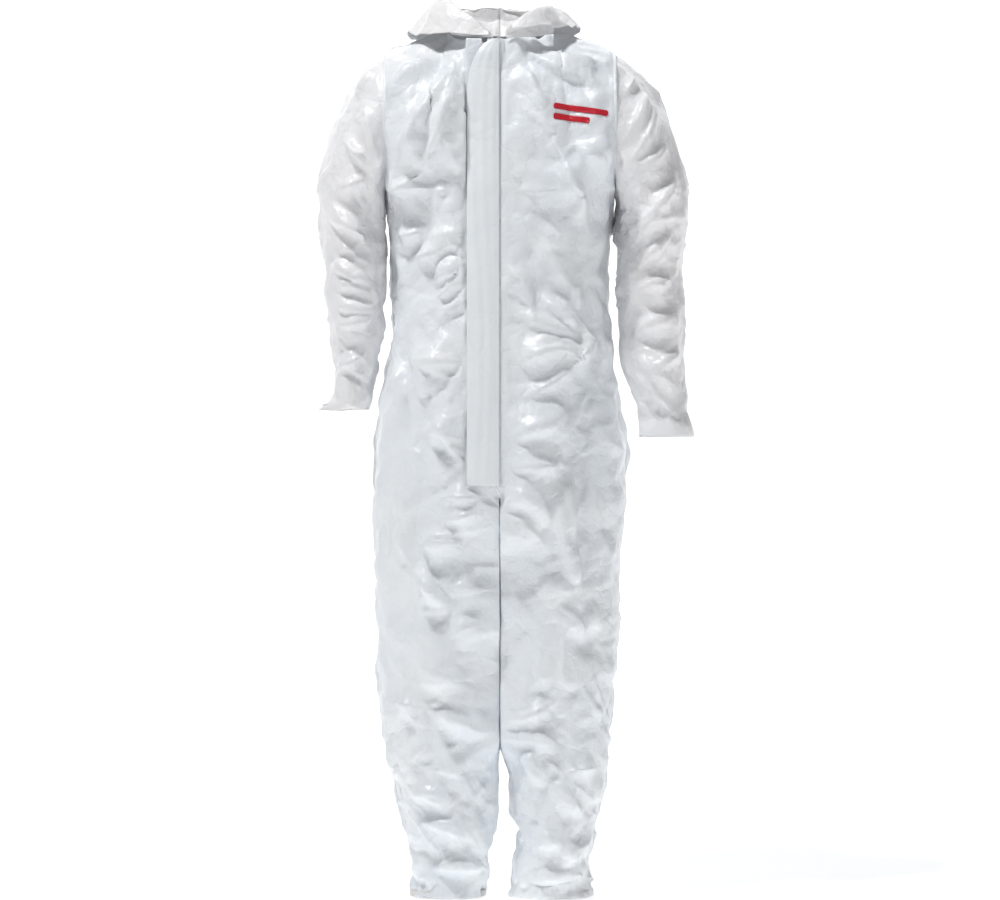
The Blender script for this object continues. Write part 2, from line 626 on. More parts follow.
sleeve = {
    "columns": 64,
    "cell": 0.008,
    "pivotZ": 1.080,         # the rings of the sleeve head fan out about this height in the armhole plane
    "spare": 1.05,           # length of cloth to length of arm
    "blendOver": 0.12,       # the cloth of the elbow bends over this length, above and below
    "headReach": [(0, 0.290), (6, 0.277), (15, 0.237), (24, 0.206), (37, 0.164), (67, 0.124), (90, 0.116)],
    # height, inner and outer distance from the centre line, middle of the depth, half depth
    "right": [
        (1.080, 0.1905, 0.2925, 0.010, 0.080),
        (1.020, 0.1880, 0.2890, 0.006, 0.070),
        (0.940, 0.1880, 0.2800, 0.001, 0.059),
        (0.860, 0.1935, 0.2750, -0.005, 0.050),
        (0.805, 0.2050, 0.2780, -0.010, 0.042),
        (0.788, 0.2080, 0.2920, -0.012, 0.034),
    ],
    "left": [
        (1.080, 0.1905, 0.3030, 0.010, 0.080),
        (1.000, 0.1880, 0.3000, 0.004, 0.067),
        (0.940, 0.1880, 0.3010, 0.000, 0.060),
        (0.860, 0.2000, 0.3030, -0.006, 0.052),
        (0.790, 0.2180, 0.3060, -0.010, 0.043),
        (0.745, 0.2260, 0.3100, -0.012, 0.034),
    ],
}


def sleeveRings(side):
    # rings round the arm: a fan of leaning rings at the head, then level ones down to the cuff
    sign = -1 if side == "right" else 1
    turn = np.linspace(0, 2 * np.pi, sleeve["columns"] + 1)[:-1]
    reach = np.array(sleeve["headReach"])
    levels = np.array(sleeve[side])
    shrink = (levels[0, 2] - armX) / reach[-1, 1]
    angles = np.linspace(0, 90, 200)
    outer = np.interp(angles, reach[:, 0], reach[:, 1] * (1 + (shrink - 1) * reach[:, 0] / 90))
    outer = np.convolve(np.pad(outer, 12, mode="edge"), np.ones(25) / 25, "valid")
    outer[0] = reach[0, 1]
    run = np.concatenate([[0], np.cumsum(np.hypot(np.diff(outer), outer[1:] * np.radians(90 / 199)))])
    count = int(round(run[-1] * sleeve["spare"] / sleeve["cell"]))
    rings = []
    for at in np.linspace(0, run[-1], count + 1)[:-1]:
        angle = np.interp(at, run, angles)
        far = np.interp(at, run, outer)
        share = angle / 90
        # the inner side goes straight down from the armpit
        drop, inset = armpitZ - sleeve["pivotZ"], levels[0, 1] - armX
        near = drop * inset / (inset * math.cos(math.radians(angle)) + drop * math.sin(math.radians(angle)))
        middle, half = (far + near) / 2, (far - near) / 2
        deep = armRadius + share * (levels[0, 4] - armRadius)
        y = armY + share * (levels[0, 3] - armY) - deep * np.cos(turn)
        r = middle + half * np.sin(turn)
        a = math.radians(angle)
        rings.append(np.stack([armX + r * math.sin(a), y, sleeve["pivotZ"] + r * math.cos(a)], 1))
    low, high = levels[-1, 0], levels[0, 0]
    count = int(round((high - low) * sleeve["spare"] / sleeve["cell"]))
    for z in np.linspace(high, low, count + 1):
        near, far, centre, deep = [between(z, sleeve[side], k) for k in (1, 2, 3, 4)]
        y = centre - deep * np.cos(turn)
        x = (near + far) / 2 + (far - near) / 2 * np.sin(turn)
        rings.append(np.stack([x, y, np.full_like(x, z)], 1))
    rings = np.array(rings)
    rings[..., 0] *= sign
    return rings


# folds of the sleeves, seen from the front: across and height of both ends, crest height, width, bow
sleeveFolds = {
    "left": [
        ((0.246, 1.335), (0.193, 1.210), 0.009, 0.012, 0.010),
        ((0.262, 1.291), (0.190, 1.170), 0.008, 0.011, 0.010),
        ((0.225, 1.345), (0.195, 1.290), 0.006, 0.010, 0.004),
        ((0.285, 1.226), (0.206, 1.175), 0.007, 0.012, 0.008),
        ((0.292, 1.180), (0.192, 1.050), 0.010, 0.014, 0.010),
        ((0.285, 1.090), (0.192, 1.004), 0.010, 0.013, 0.008),
        ((0.296, 1.020), (0.192, 0.975), 0.008, 0.012, 0.004),
        ((0.290, 0.956), (0.192, 0.914), 0.009, 0.013, 0.006),
        ((0.294, 0.990), (0.214, 1.000), 0.007, 0.010, 0.004),
        ((0.197, 0.881), (0.290, 0.808), 0.008, 0.013, 0.006),
        ((0.206, 0.845), (0.275, 0.785), 0.007, 0.011, 0.004),
        ((0.298, 0.900), (0.240, 0.850), 0.006, 0.010, 0.004),
    ],
    "right": [
        ((-0.204, 1.350), (-0.240, 1.286), 0.007, 0.010, 0.004),
        ((-0.236, 1.290), (-0.200, 1.162), 0.010, 0.014, 0.008),
        ((-0.262, 1.240), (-0.205, 1.175), 0.007, 0.012, -0.006),
        ((-0.277, 1.129), (-0.200, 1.160), 0.007, 0.011, 0.004),
        ((-0.290, 1.113), (-0.192, 1.032), 0.010, 0.012, 0.006),
        ((-0.288, 1.072), (-0.192, 0.998), 0.009, 0.010, 0.005),
        ((-0.288, 1.030), (-0.192, 0.974), 0.009, 0.009, 0.004),
        ((-0.278, 0.998), (-0.190, 0.966), 0.008, 0.008, 0.003),
        ((-0.280, 0.955), (-0.192, 0.945), 0.007, 0.009, 0.003),
        ((-0.268, 0.912), (-0.200, 0.935), 0.006, 0.010, 0.004),
        ((-0.262, 0.850), (-0.205, 0.880), 0.005, 0.010, 0.004),
    ],
}
sleeveRegions = [
    dict(count=34, length=0.075, tall=0.004, wide=0.008, hollow=0.4, stray=0.4,
         weight=lambda p, n: np.exp(-((p[:, 2] - 1.0) / 0.08) ** 2),
         turn=lambda p: 0.25 * np.sign(p[0]) * np.sign(p[1])),
    dict(count=34, length=0.085, tall=0.0035, wide=0.009, hollow=0.4, stray=0.5,
         weight=lambda p, n: ease((p[:, 2] - 1.05) / 0.05),
         turn=lambda p: 0.8 * np.sign(p[0]) * np.sign(p[1])),
    dict(count=22, length=0.060, tall=0.003, wide=0.007, hollow=0.4, stray=0.5,
         weight=lambda p, n: ease((0.95 - p[:, 2]) / 0.05),
         turn=lambda p: 0.3 * np.sign(p[0]) * np.sign(p[1])),
]
sleeveSim = dict(quality=5, mass=0.15, stretch=25, shear=10, bend=0.6, pin=1.0, gravity=0.12, frames=14)


def buildSleeve(side):
    sign = -1 if side == "right" else 1
    rings = sleeveRings(side)
    rows, columns = rings.shape[:2]
    points = rings.reshape(-1, 3)
    faces = gridFaces(rows, columns, closed=True)
    piece = newPiece("sleeve_" + side, points, faces if sign < 0 else faces[:, ::-1])
    normals = getNormals(piece.data)
    centre = np.repeat(rings.mean(1), columns, axis=0)
    if ((points - centre) * normals).sum() < 0:
        piece.data.flip_normals()
        normals = getNormals(piece.data)
    folds = [placedFold(points, normals, *f[:2], f[2], f[3], f[4]) for f in sleeveFolds[side]]
    for region in sleeveRegions:
        folds += scatteredFolds(points, normals, region, random)
    row = np.repeat(np.arange(rows), columns)
    free = ease(row / 3) * ease((rows - 1 - row) / 3)
    guided = points + normals * (1.4 * foldRelief(points, normals, folds) * free)[:, None]
    setPoints(piece.data, guided)
    down = np.concatenate([[0], np.cumsum(np.linalg.norm(np.diff(rings.mean(1), axis=0), axis=1))])
    wide = centre + (guided - centre) * 1.015
    wide[:, 2] -= (sleeve["spare"] - 1) * down[row]
    drape(piece, wide, np.maximum(0.15, 1 - free), sleeveSim)
    # the cuff is gathered by its elastic
    done = getPoints(piece.data)
    gather = np.exp(-(rows - 1 - row) / 1.6)
    ripple = np.sin(np.tile(np.arange(columns), rows) * np.pi) * 0.0016
    done += getNormals(piece.data) * (ripple * gather)[:, None]
    # it hangs clear of the trunk
    done[:, 0] = sign * np.maximum(sign * done[:, 0], armX + 0.0012 * (row > 0))
    setPoints(piece.data, done)
    return smoothed(piece, 1)


sleeves = {side: buildSleeve(side) for side in ("right", "left")}
print("sleeves made")


# small creases: the numbers that shape the finished mesh of the body and the sleeves
fine = {
    "bodyScale": 1.3,        # height of the repeated guide folds
    "sleeveScale": 1.2,
    "narrower": 0.60,        # their width to that of the guide folds
    "narrowest": 0.0060,
    "steepest": 0.95,        # crest height to width
    "grain": 0.0014,         # height of the small creases of the film
    "facets": [(0.130, 0.0048), (0.056, 0.0022)],    # size and height of the flat facets between creases
}


def noiseField(points, size, seed):
    # smooth noise: sum of sine waves of the given size in seeded directions, about -1 to 1
    draw = np.random.default_rng(seed)
    total = np.zeros(len(points))
    for k in range(14):
        way = draw.normal(size=3)
        way *= 2 * np.pi / (size * draw.uniform(0.7, 1.6) * np.linalg.norm(way))
        total += np.sin(points @ way + draw.uniform(0, 2 * np.pi))
    return total / 3.7


def facetField(points, size, seed):
    # flat facets with straight creases between them: triangle waves in seeded directions, each one
    # strong in some places only, so that creases begin and end
    draw = np.random.default_rng(seed)
    total = np.zeros(len(points))
    for k in range(6):
        way = draw.normal(size=3)
        way /= size * draw.uniform(0.7, 1.6) * np.linalg.norm(way)
        phase = points @ way + draw.uniform()
        wave = np.abs(phase % 1 - 0.5) * 4 - 1
        total += wave * ease(0.45 + 0.9 * noiseField(points, 1.9 * size, seed + 10 + k))
    return total / 1.6


def crumple(points, seed):
    # small sharp creases: the noise folded on itself where it crosses zero, stronger in some places
    warp = np.stack([noiseField(points, 0.09, seed + k) for k in (1, 2, 3)], 1) * 0.012
    p = points + warp
    first = np.abs(noiseField(p, 0.075, seed + 4))
    second = np.abs(noiseField(p, 0.038, seed + 5))
    third = np.abs(noiseField(p, 0.020, seed + 6))
    place = 0.45 + 0.55 * ease(0.5 + 0.5 * noiseField(points, 0.16, seed + 7))
    sharp = 1.5 * np.sqrt(first) + 0.8 * np.sqrt(second) + 0.35 * np.sqrt(third)
    height = fine["grain"] * place * (1.35 - sharp)
    for k, (size, tall) in enumerate(fine["facets"]):
        height += tall * facetField(points + 0.8 * warp, size, seed + 40 * (k + 1))
    return height


def crumpled(piece, seed, strength=1.0, keep=None):
    # small creases put on a finished mesh, less where keep is small
    points = getPoints(piece.data)
    height = crumple(points, seed) * strength
    if keep is not None:
        height = height * keep(points)
    setPoints(piece.data, points + getNormals(piece.data) * height[:, None])
    return piece


fineRegions = [
    dict(count=420, length=0.050, tall=0.0040, wide=0.0046, hollow=0.45, stray=0.8,
         weight=lambda p, n: 0.35 + ease((0.40 - p[:, 2]) / 0.2) + np.exp(-((p[:, 2] - 0.93) / 0.12) ** 2),
         turn=lambda p: 0.3 * np.sign(p[0]) * np.sign(p[1])),
    dict(count=150, length=0.110, tall=0.0050, wide=0.0062, hollow=0.4, stray=0.6,
         weight=lambda p, n: 1.0 * (p[:, 2] < 1.34), turn=lambda p: -0.5 * np.sign(p[0]) * np.sign(p[1])),
]


def creased(piece, lists, regions, keep, scale):
    # the guide folds once more on the finished mesh, narrower and sharper, and short ones between them
    points, normals = getPoints(piece.data), getNormals(piece.data)
    folds = []
    for listed, face in lists:
        for start, end, tall, wide, bow in listed:
            sharp = max(fine["narrower"] * wide, fine["narrowest"])
            crest = min(scale * tall, fine["steepest"] * sharp)
            folds.append(placedFold(points, normals, start, end, crest, sharp, bow, face=face))
    for region in regions:
        folds += scatteredFolds(points, normals, region, random)
    height = foldRelief(points, normals, folds) * keep(points)
    setPoints(piece.data, points + normals * height[:, None])


clear = {
    "reach": 0.034,          # half width of the calm strip under the flap, and how softly it ends
    "soft": 0.008,
    "openReach": 0.046,      # the same on the side where the opened flap lies
    "openSoft": 0.014,
    "frontY": -0.06,
    "lowZ": 0.655,
    "hole": 0.012,           # calm strip round the armhole
}


def zipClear(points):
    # 0 under the storm flap and at the zip, 1 away from it
    aside = points[:, 0] - flapMiddle
    reach = np.where(aside > 0, clear["openReach"], clear["reach"])
    soft = np.where(aside > 0, clear["openSoft"], clear["soft"])
    near = ease((reach - np.abs(aside)) / soft) * (points[:, 1] < clear["frontY"])
    return 1 - near * ease((points[:, 2] - clear["lowZ"]) / 0.02)


def holeClear(points):
    # 0 on the armhole edges and where two pieces are sewn together
    inPlane = np.hypot(points[:, 1] - armY, points[:, 2] - armZ) - armRadius
    return ease(np.hypot(inPlane, np.abs(points[:, 0]) - armX) / clear["hole"])


touch = {
    "lowZ": 0.20,            # the legs touch between these heights
    "highZ": 0.66,
    "wide": 0.055,           # inner part of the leg that is drawn in, first softly and then closely
    "share": 0.82,
    "closeWide": 0.030,
    "closeShare": 0.93,
}


def legsMeet(points, wide, soft, share, least):
    # the inner sides of the legs drawn towards the centre plane: across times one minus the share
    level = ease((points[:, 2] - touch["lowZ"]) / 0.06) * ease((touch["highZ"] - points[:, 2]) / 0.04)
    inwards = ease((wide - np.abs(points[:, 0])) / soft)
    return points[:, 0] * (1 - share * level * inwards * (np.abs(points[:, 0]) > least))


smoothed(bodyCloth, 1)
points = getPoints(bodyCloth.data)
# the cloth stays behind the flap and the zip in front of it
under = (1 - zipClear(points)) > 0.5
limit = frontAt(points[:, 2]) - 0.0005
under &= np.abs(points[:, 0] - flapMiddle) < 0.030
points[under, 1] = np.clip(points[under, 1], limit[under], limit[under] + 0.002)
# the legs touch down to below the knees, and only their outer sides billow
points[:, 0] = legsMeet(points, touch["wide"], 0.03, touch["share"], 0.0012)
setPoints(bodyCloth.data, points)
creased(
    bodyCloth, [(bodyFolds, -1), (backFolds, 1)], fineRegions,
    lambda p: zipClear(p) * holeClear(p) * ease((np.abs(p[:, 0]) - 0.002) / 0.012 + (p[:, 2] > 0.64)),
    fine["bodyScale"],
)
crumpled(bodyCloth, 100, 1.0, lambda p: zipClear(p) * holeClear(p))
points = getPoints(bodyCloth.data)
points[:, 0] = legsMeet(points, touch["closeWide"], 0.018, touch["closeShare"], 0.0007)
# nothing of the trunk stands out past the plane of the armhole, where the sleeve turns
high = points[:, 2] > 1.0
points[high, 0] = np.clip(points[high, 0], -armX - 0.0006, armX + 0.0006)
setPoints(bodyCloth.data, points)
sleeveFine = [dict(fineRegions[0], count=90, weight=lambda p, n: 0.4 + np.exp(-((p[:, 2] - 1.0) / 0.1) ** 2)),
              dict(fineRegions[1], count=30, weight=lambda p, n: 1.0 + 0 * p[:, 2])]
for side in sleeves:
    creased(sleeves[side], [(sleeveFolds[side], -1)], sleeveFine, holeClear, fine["sleeveScale"])
    crumpled(sleeves[side], 200 if side == "right" else 300, 1.0, holeClear)
print("small creases made")


def cutPanels():
    # the four panels of the body cut from the sewn cloth, by material index
    mesh = bodyCloth.data
    panel = np.empty(len(mesh.polygons), int)
    mesh.polygons.foreach_get("material_index", panel)
    corners = np.empty(len(mesh.loops), int)
    mesh.loops.foreach_get("vertex_index", corners)
    faces = corners.reshape(-1, 4)
    points = getPoints(mesh)
    made = {}
    names = ["front_cloth_right", "back_cloth_right", "front_cloth_left", "back_cloth_left"]
    for k, name in enumerate(names):
        used, local = np.unique(faces[panel == k], return_inverse=True)
        made[name] = newPiece(name, points[used], local.reshape(-1, 4))
    bpy.data.objects.remove(bodyCloth)
    return made


panels = cutPanels()
print("panels cut", {n: len(p.data.polygons) for n, p in panels.items()})


flapShape = {
    "columns": 26,
    "rows": 190,
    "wide": 0.052,
    "low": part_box("storm_flap")[0][2],
    "straightTo": 1.290,
    "top": 1.3845,
    "thick": 0.0006,
}


def flapEdge(z):
    # free edge of the flap: straight, then a rounded way up to the sewn edge
    t = np.clip((z - flapShape["straightTo"]) / (flapShape["top"] - flapShape["straightTo"]), 0, 1)
    return -flapShape["wide"] * np.sqrt(np.clip(1 - t**2.2, 0, 1))


def flapSurface(across, z):
    # across from 0 at the sewn edge to 1 at the free edge; raised in the middle over the zip
    x = across * flapEdge(z) - 0.0008
    lift = 0.0012 + 0.0062 * np.sin(np.pi * np.clip(across * 0.94 + 0.03, 0, 1)) ** 0.45 + 0.0016 * across
    wave = 0.0004 * np.sin(across * 19 + 2.2 * np.sin(z * 9)) * np.sin(np.pi * across)
    wave += 0.0009 * np.sin(z * 61 + 2 * np.sin(z * 23)) * across**2
    stitch = -0.0006 * (np.exp(-((across - 0.10) / 0.02) ** 2) + np.exp(-((across - 0.90) / 0.02) ** 2))
    narrow = ease((flapShape["top"] - z) / 0.03)
    return overFront(x, z, lift * (0.35 + 0.65 * narrow) + wave * narrow + stitch * narrow)


def buildFlap():
    t = np.linspace(0, 1, flapShape["rows"])[:, None]
    z = flapShape["low"] + (flapShape["top"] - flapShape["low"]) * t
    across = np.linspace(0, 1, flapShape["columns"])[None, :] + 0 * z
    grid = flapSurface(across, z + 0 * across)
    return newPiece("flap_cloth", grid, gridFaces(flapShape["rows"], flapShape["columns"]))


flapCloth = buildFlap()


def bandAlong(name, middle, out, wide, thick, closed=False):
    # flat band with raised middle along a line of points; out is the direction away from the cloth
    ahead = np.roll(middle, -1, 0) - np.roll(middle, 1, 0)
    if not closed:
        ahead[0], ahead[-1] = middle[1] - middle[0], middle[-1] - middle[-2]
    ahead /= np.linalg.norm(ahead, axis=1)[:, None]
    out = out - ahead * (out * ahead).sum(1)[:, None]
    out /= np.linalg.norm(out, axis=1)[:, None]
    across = np.cross(ahead, out)
    turn = np.linspace(0, 2 * np.pi, 11)[:-1]
    a = 0.5 * wide * np.cos(turn)
    b = 0.5 * thick * np.sin(turn)
    grid = middle[:, None] + across[:, None] * a[None, :, None] + out[:, None] * b[None, :, None]
    rows, columns = grid.shape[:2]
    points = grid.reshape(-1, 3)
    if closed:
        points = np.concatenate([points, points[:columns]])
        points, faces = sewn(points, gridFaces(rows + 1, columns, closed=True))
        return closedOut(newPiece(name, points, faces))
    faces = gridFaces(rows, columns, closed=True)
    ends = [grid[0].mean(0), grid[-1].mean(0)]
    points = np.concatenate([points, np.repeat(ends[:1], columns, 0), np.repeat(ends[1:], columns, 0)])
    first, last = rows * columns, (rows - 1) * columns
    ring = np.arange(columns)
    after = (ring + 1) % columns
    caps = np.stack([ring, after, first + after, first + ring], 1)
    tail = np.stack([last + after, last + ring, first + columns + ring, first + columns + after], 1)
    points, faces = sewn(points, np.concatenate([faces, caps, tail]))
    return closedOut(newPiece(name, points, faces))


def closedOut(piece):
    # normals of a closed piece turned outwards and flat-out zero faces removed
    mesh = bmesh.new()
    mesh.from_mesh(piece.data)
    bmesh.ops.dissolve_degenerate(mesh, dist=1e-7, edges=mesh.edges)
    bmesh.ops.recalc_face_normals(mesh, faces=mesh.faces)
    mesh.to_mesh(piece.data)
    mesh.free()
    piece.data.polygons.foreach_set("use_smooth", np.ones(len(piece.data.polygons), bool))
    return piece


seam = {
    "wide": 0.0042,
    "thick": 0.0018,
    "armWide": 0.0055,
    "armThick": 0.0024,
}


def sharedLine(first, second, order, where):
    # points that two panels share, sorted along one direction, with the mean normal of both
    a, b = getPoints(panels[first].data), getPoints(panels[second].data)
    na = getNormals(panels[first].data)
    nb = getNormals(panels[second].data)
    ka = {tuple(k): i for i, k in enumerate(np.round(a / 1e-6).astype(np.int64).tolist())}
    kb = np.round(b / 1e-6).astype(np.int64).tolist()
    pairs = np.array([(ka[tuple(k)], i) for i, k in enumerate(kb) if tuple(k) in ka])
    points = a[pairs[:, 0]]
    out = na[pairs[:, 0]] + nb[pairs[:, 1]]
    keep = where(points)
    points, out = points[keep], out[keep]
    rank = np.argsort(points @ np.array(order, float))
    return points[rank], out[rank]


seamLines = {
    "side_seam_right": ("front_cloth_right", "back_cloth_right", (0, 0, 1),
                        lambda p: (p[:, 0] < -0.09) & (p[:, 2] < armpitZ + 0.001)),
    "side_seam_left": ("front_cloth_left", "back_cloth_left", (0, 0, 1),
                       lambda p: (p[:, 0] > 0.09) & (p[:, 2] < armpitZ + 0.001)),
    "inseam_right": ("front_cloth_right", "back_cloth_right", (0, 0, 1),
                     lambda p: (p[:, 0] > -0.07) & (p[:, 2] < body["crotchZ"] - 0.004)),
    "inseam_left": ("front_cloth_left", "back_cloth_left", (0, 0, 1),
                    lambda p: (p[:, 0] < 0.07) & (p[:, 2] < body["crotchZ"] - 0.004)),
    "shoulder_seam_right": ("front_cloth_right", "back_cloth_right", (1, 0, 0), lambda p: p[:, 2] > 1.36),
    "shoulder_seam_left": ("front_cloth_left", "back_cloth_left", (1, 0, 0), lambda p: p[:, 2] > 1.36),
    "back_seam": ("back_cloth_right", "back_cloth_left", (0, 0, 1),
                  lambda p: p[:, 2] > body["crotchZ"] + 0.004),
    "front_seam": ("front_cloth_right", "front_cloth_left", (0, 0, 1), lambda p: p[:, 2] < 0.70),
}
seams = {}
for name, facts in seamLines.items():
    line, out = sharedLine(*facts)
    seams[name] = bandAlong(name, line, out, seam["wide"], seam["thick"])
armTurn = np.linspace(0, 2 * np.pi, 241)[:-1]
for side, sign in (("right", -1), ("left", 1)):
    ring = np.stack([
        np.full_like(armTurn, sign * armX),
        armY + armRadius * np.cos(armTurn),
        armZ + armRadius * np.sin(armTurn),
    ], 1)
    out = ring - (sign * armX, armY, armZ)
    name = "armhole_seam_" + side
    seams[name] = bandAlong(name, ring, out, seam["armWide"], seam["armThick"], closed=True)
print("seams made", {n: len(s.data.vertices) for n, s in seams.items()})

roll = {
    "rows": 80,
    "columns": 34,
    "thick": 0.0006,
    # neckline, crest and outer edge of the fabric from the throat to the centre back
    "base": [
        (0.010, -0.094, 1.384), (0.045, -0.084, 1.387), (0.074, -0.045, 1.394),
        (0.082, 0.000, 1.400), (0.070, 0.045, 1.403), (0.040, 0.068, 1.403),
        (0.0, 0.076, 1.403),
    ],
    "right": {
        "crest": [
            (0.016, -0.099, 1.396), (0.046, -0.090, 1.420), (0.077, -0.062, 1.443),
            (0.093, -0.010, 1.453), (0.088, 0.050, 1.448), (0.052, 0.088, 1.438),
            (0.0, 0.099, 1.434),
        ],
        "outer": [
            (0.018, -0.104, 1.390), (0.072, -0.093, 1.392), (0.120, -0.060, 1.394),
            (0.150, -0.005, 1.401), (0.140, 0.055, 1.394), (0.080, 0.105, 1.395),
            (0.0, 0.118, 1.400),
        ],
    },
    "left": {
        "crest": [
            (0.018, -0.099, 1.402), (0.042, -0.090, 1.421), (0.066, -0.062, 1.437),
            (0.080, -0.010, 1.447), (0.078, 0.050, 1.446), (0.050, 0.088, 1.438),
            (0.0, 0.099, 1.434),
        ],
        "outer": [
            (0.020, -0.104, 1.398), (0.060, -0.094, 1.403), (0.098, -0.062, 1.406),
            (0.124, -0.005, 1.412), (0.124, 0.055, 1.402), (0.076, 0.105, 1.398),
            (0.0, 0.118, 1.400),
        ],
    },
}


def throughRows(controls, count):
    # smooth surface through several lines of points, from the first line to the last
    p = np.array(controls)
    slope = np.gradient(p, axis=0)
    at = np.linspace(0, len(p) - 1, count)
    k = np.minimum(at.astype(int), len(p) - 2)
    t = (at - k)[:, None, None]
    return (
        (2 * t**3 - 3 * t**2 + 1) * p[k] + (t**3 - 2 * t**2 + t) * slope[k]
        + (3 * t**2 - 2 * t**3) * p[k + 1] + (t**3 - t**2) * slope[k + 1]
    )


def buildRoll(side):
    sign = -1 if side == "right" else 1
    rows = roll["rows"]
    base = curveThrough(roll["base"], rows - 1)
    crest = curveThrough(roll[side]["crest"], rows - 1)
    outer = curveThrough(roll[side]["outer"], rows - 1)
    away = crest - base
    away[:, 2] = 0
    away /= np.maximum(np.linalg.norm(away, axis=1), 1e-4)[:, None]
    size = np.linalg.norm(outer - crest, axis=1)[:, None]
    rising = base + 0.62 * (crest - base) - away * 0.004
    falling = crest + 0.45 * (outer - crest) + np.array([0, 0, 0.14]) * size
    grid = throughRows([base, rising, crest, falling, outer], roll["columns"]).transpose(1, 0, 2)
    # gathers that run up from the neckline, strongest at the crest
    along = np.linspace(0, 1, rows)[:, None]
    up = np.linspace(0, 1, roll["columns"])[None, :]
    wave = np.sin(38 * along + 4 * np.sin(9 * along + up * 2)) * 0.0022
    wave += np.sin(17 * along + 5 * up) * 0.0028 * up
    fade = ease(along / 0.12) * ease((1 - along) / 0.06) * ease(up / 0.25)
    grid[..., 2] += wave * fade
    grid[..., 0] += 0.6 * wave * fade
    grid[..., 0] *= sign
    faces = gridFaces(rows, roll["columns"])
    piece = newPiece("hood_roll_cloth_" + side, grid, faces if sign < 0 else faces[:, ::-1])
    smoothed(piece, 1)
    return crumpled(piece, 400 + sign, 0.9, lambda p: ease((p[:, 0] * sign - 0.002) / 0.01))


rolls = {side: buildRoll(side) for side in ("right", "left")}

hood = {
    "columns": 96,
    "thick": 0.0006,
    # height, half width, front, back: from inside the mouth, over the rim, down outside to the tip
    "levels": [
        (1.385, 0.080, 0.128, 0.165), (1.415, 0.092, 0.112, 0.172), (1.440, 0.100, 0.104, 0.172),
        (1.452, 0.104, 0.099, 0.176), (1.449, 0.108, 0.096, 0.184), (1.425, 0.110, 0.098, 0.196),
        (1.380, 0.112, 0.106, 0.212), (1.330, 0.112, 0.128, 0.224), (1.285, 0.108, 0.144, 0.230),
        (1.245, 0.095, 0.152, 0.229), (1.215, 0.068, 0.158, 0.218), (1.202, 0.036, 0.168, 0.204),
        (1.198, 0.004, 0.182, 0.188),
    ],
    "rowsEach": 6,
}
hoodFolds = [
    ((-0.090, 1.400), (-0.030, 1.240), 0.007, 0.012, -0.008),
    ((0.085, 1.400), (0.035, 1.235), 0.007, 0.012, 0.008),
    ((-0.055, 1.430), (-0.012, 1.300), 0.006, 0.010, -0.004),
    ((0.060, 1.430), (0.015, 1.310), 0.006, 0.010, 0.004),
    ((-0.100, 1.350), (-0.020, 1.330), 0.006, 0.011, -0.008),
    ((0.100, 1.330), (0.015, 1.290), 0.006, 0.011, -0.008),
    ((-0.080, 1.270), (-0.005, 1.230), 0.006, 0.011, -0.006),
]


def buildHood():
    # one pouch, cut into its two halves at the centre seam
    levels = np.array(hood["levels"])
    rows = hood["rowsEach"] * (len(levels) - 1) + 1
    way = throughRows(levels[:, None, :], rows)[:, 0]
    turn = np.linspace(0, 2 * np.pi, hood["columns"] + 1)[:-1] + np.pi / 2
    power = 2 / 2.5
    c, s = np.cos(turn), np.sin(turn)
    x = way[:, 1:2] * np.sign(c) * np.abs(c) ** power
    middle, deep = (way[:, 2:3] + way[:, 3:4]) / 2, (way[:, 3:4] - way[:, 2:3]) / 2
    y = middle + deep * np.sign(s) * np.abs(s) ** power
    z = way[:, 0:1] + 0 * x
    # the rim is gathered by the face elastic
    row = np.arange(rows)[:, None]
    rim = np.exp(-((row - 3 * hood["rowsEach"]) / 5.0) ** 2)
    z = z + 0.0028 * rim * np.sin(11 * turn + 1.5 * np.sin(3 * turn))[None, :]
    grid = np.stack([x, y, z], 2)
    faces = gridFaces(rows, hood["columns"], closed=True)
    piece = newPiece("hood_cloth", grid, faces)
    points, normals = getPoints(piece.data), getNormals(piece.data)
    lower = points[:, 2] < 1.30
    if (normals[lower] * (points[lower] - points[lower].mean(0))).sum() < 0:
        piece.data.flip_normals()
        normals = getNormals(piece.data)
    folds = [placedFold(points, normals, *f[:2], f[2], f[3], f[4], face=1) for f in hoodFolds]
    region = dict(count=40, length=0.07, tall=0.004, wide=0.008, hollow=0.4, stray=0.6,
                  weight=lambda p, n: 1.0 * (p[:, 2] > 1.215), turn=lambda p: 1.2 * np.sign(p[0]))
    folds += scatteredFolds(points, normals, region, random)
    keep = ease((np.repeat(np.arange(rows), hood["columns"]) - 2 * hood["rowsEach"]) / 6)
    keep = keep * ease(np.abs(x).ravel() / 0.02)
    setPoints(piece.data, points + normals * (foldRelief(points, normals, folds) * keep)[:, None])
    smoothed(piece, 1)
    crumpled(piece, 500, 0.9, lambda p: ease(np.abs(p[:, 0]) / 0.008))
    points = getPoints(piece.data)
    points[:, 1] = np.clip(points[:, 1], 0.093, 0.236)
    setPoints(piece.data, points)
    corners = np.empty(len(piece.data.loops), int)
    piece.data.loops.foreach_get("vertex_index", corners)
    faces = corners.reshape(-1, 4)
    right = points[faces].mean(1)[:, 0] < 0
    made = {}
    for side, mine in (("right", right), ("left", ~right)):
        used, local = np.unique(faces[mine], return_inverse=True)
        made[side] = newPiece("hood_cloth_" + side, points[used], local.reshape(-1, 4))
    line = points[(np.abs(points[:, 0]) < 1e-5) & (points[:, 1] > 0.175)]
    line = line[np.argsort(-line[:, 2])]
    bpy.data.objects.remove(piece)
    return made, line


hoodHalves, hoodLine = buildHood()
outward = np.tile([0.0, 1.0, -0.1], (len(hoodLine), 1))
seams["hood_seam"] = bandAlong("hood_seam", hoodLine, outward, seam["wide"], seam["thick"])
print("hood made")

